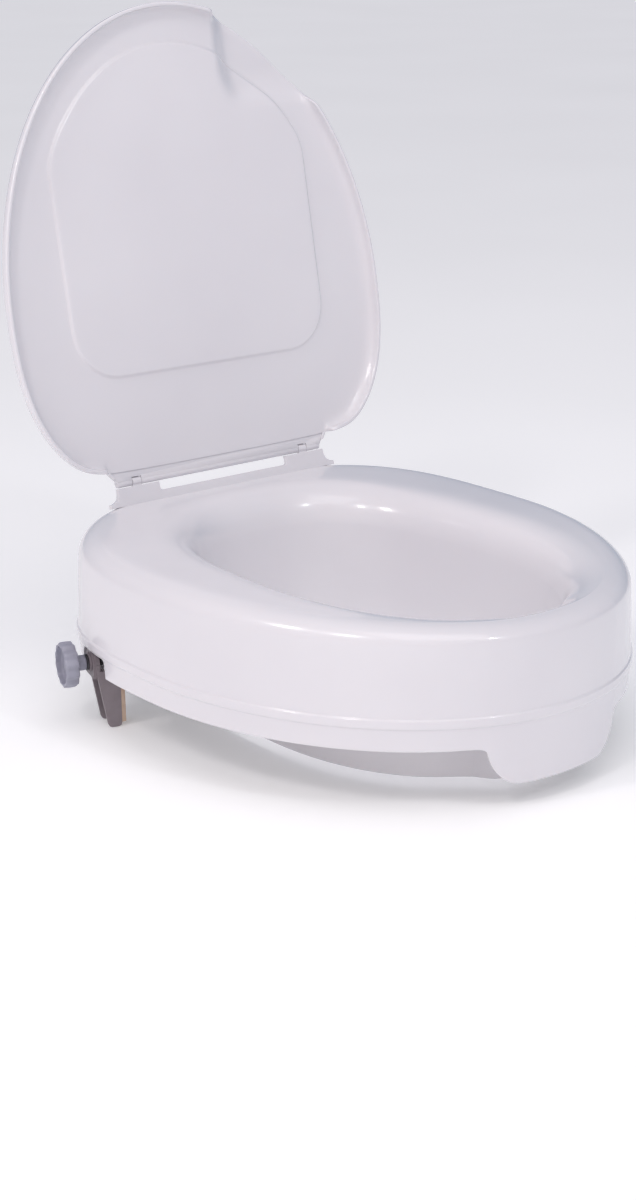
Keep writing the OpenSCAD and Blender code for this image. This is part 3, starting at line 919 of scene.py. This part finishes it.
def area_light(name, azimuth, elevation, distance, size, power, color=(1, 1, 1)):
    """Softbox on the sky over the seat; azimuth 0 is in front of it and 90 on its right."""
    a, e = radians(azimuth), radians(elevation)
    away = Vector((sin(a) * cos(e), -cos(a) * cos(e), sin(e)))
    lamp = bpy.data.lights.new(name, "AREA")
    lamp.shape = "RECTANGLE"
    lamp.size, lamp.size_y = size
    lamp.energy = power
    lamp.color = color
    holder = bpy.data.objects.new(name, lamp)
    bpy.context.scene.collection.objects.link(holder)
    holder.location = Vector((0, 0, 0.1)) + away * distance
    holder.rotation_euler = away.to_track_quat("Z", "Y").to_euler()
    return holder


def make_lights():
    area_light("left_window", -94, 42, 2.2, (0.22, 0.36), 6, (1.0, 0.955, 0.95))
    area_light("front_left_window", -68, 46, 2.2, (0.2, 0.3), 5, (1.0, 0.965, 0.96))
    area_light("front_right_window", 6, 44, 2.2, (0.18, 0.28), 3.5, (0.95, 0.975, 1.0))
    area_light("ceiling_softbox", -20, 66, 2.0, (1.2, 1.2), 6, (1.0, 0.98, 0.98))
    make_studio_walls()
    bpy.context.scene.view_settings.view_transform = "Standard"


def make_studio_walls():
    """Soft surroundings, warm in front and cool behind, with a plain pale backdrop beyond the floor."""
    world = bpy.data.worlds.new("studio")
    bpy.context.scene.world = world
    world.use_nodes = True
    tree = world.node_tree
    coords = tree.nodes.new("ShaderNodeTexCoord")
    facing = tree.nodes.new("ShaderNodeVectorMath")
    facing.operation = "DOT_PRODUCT"
    facing.inputs[1].default_value = (-0.72, -0.38, 0.58)
    ramp = tree.nodes.new("ShaderNodeValToRGB")
    ramp.color_ramp.elements[0].position = 0
    ramp.color_ramp.elements[0].color = (0.15, 0.25, 0.38, 1)
    ramp.color_ramp.elements[1].position = 1
    ramp.color_ramp.elements[1].color = (0.97, 0.91, 0.935, 1)
    spread = tree.nodes.new("ShaderNodeMapRange")
    spread.inputs["From Min"].default_value = -0.75
    spread.inputs["From Max"].default_value = 0.85
    tree.links.new(coords.outputs["Generated"], facing.inputs[0])
    tree.links.new(facing.outputs["Value"], spread.inputs["Value"])
    tree.links.new(spread.outputs["Result"], ramp.inputs["Fac"])
    seen = tree.nodes.new("ShaderNodeMix")
    seen.data_type = "RGBA"
    seen.inputs["B"].default_value = (0.92, 0.92, 0.93, 1)
    path = tree.nodes.new("ShaderNodeLightPath")
    tree.links.new(path.outputs["Is Camera Ray"], seen.inputs["Factor"])
    tree.links.new(ramp.outputs["Color"], seen.inputs["A"])
    tree.links.new(seen.outputs["Result"], tree.nodes["Background"].inputs["Color"])
    tree.nodes["Background"].inputs["Strength"].default_value = 0.78


def make_camera():
    azimuth, elevation = radians(-40.0), radians(21.16)
    back = Vector((sin(azimuth) * cos(elevation), -cos(azimuth) * cos(elevation), sin(elevation)))
    right = (-back).cross(Vector((0, 0, 1))).normalized()
    up = right.cross(-back)
    cam = bpy.data.cameras.new("camera")
    holder = bpy.data.objects.new("camera", cam)
    bpy.context.scene.collection.objects.link(holder)
    turn = Matrix((right, up, back)).transposed()
    holder.matrix_world = Matrix.Translation(
        back * 1.601 + right * 0.01146 - up * 0.09346 + Vector((0, 0, 0.044))) @ turn.to_4x4()
    cam.lens = 64.05
    cam.sensor_width = 36
    cam.shift_x = -0.039
    cam.shift_y = 0.102
    cam.clip_start = 0.05
    bpy.context.scene.camera = holder


make_camera()
make_lights()
make_floor()
make_seat()
make_ribs()
for pad_name, pad_angle in PAD_ANGLES.items():
    make_rest_pad(pad_name, pad_angle)
make_hinge_bracket()
make_hinge_pin("left_hinge_pin", -1)
make_hinge_pin("right_hinge_pin", 1)
make_lid()
for clamp_side, clamp_label in ((-1, "left"), (1, "right")):
    make_clamp_bracket(clamp_side, clamp_label)
    make_jaw_pad(clamp_side, clamp_label)
    make_knob(clamp_side, clamp_label)
    make_screw(clamp_side, clamp_label)
    make_washer(clamp_side, clamp_label)
    make_retaining_ring(clamp_side, clamp_label)
    make_nut(clamp_side, clamp_label)
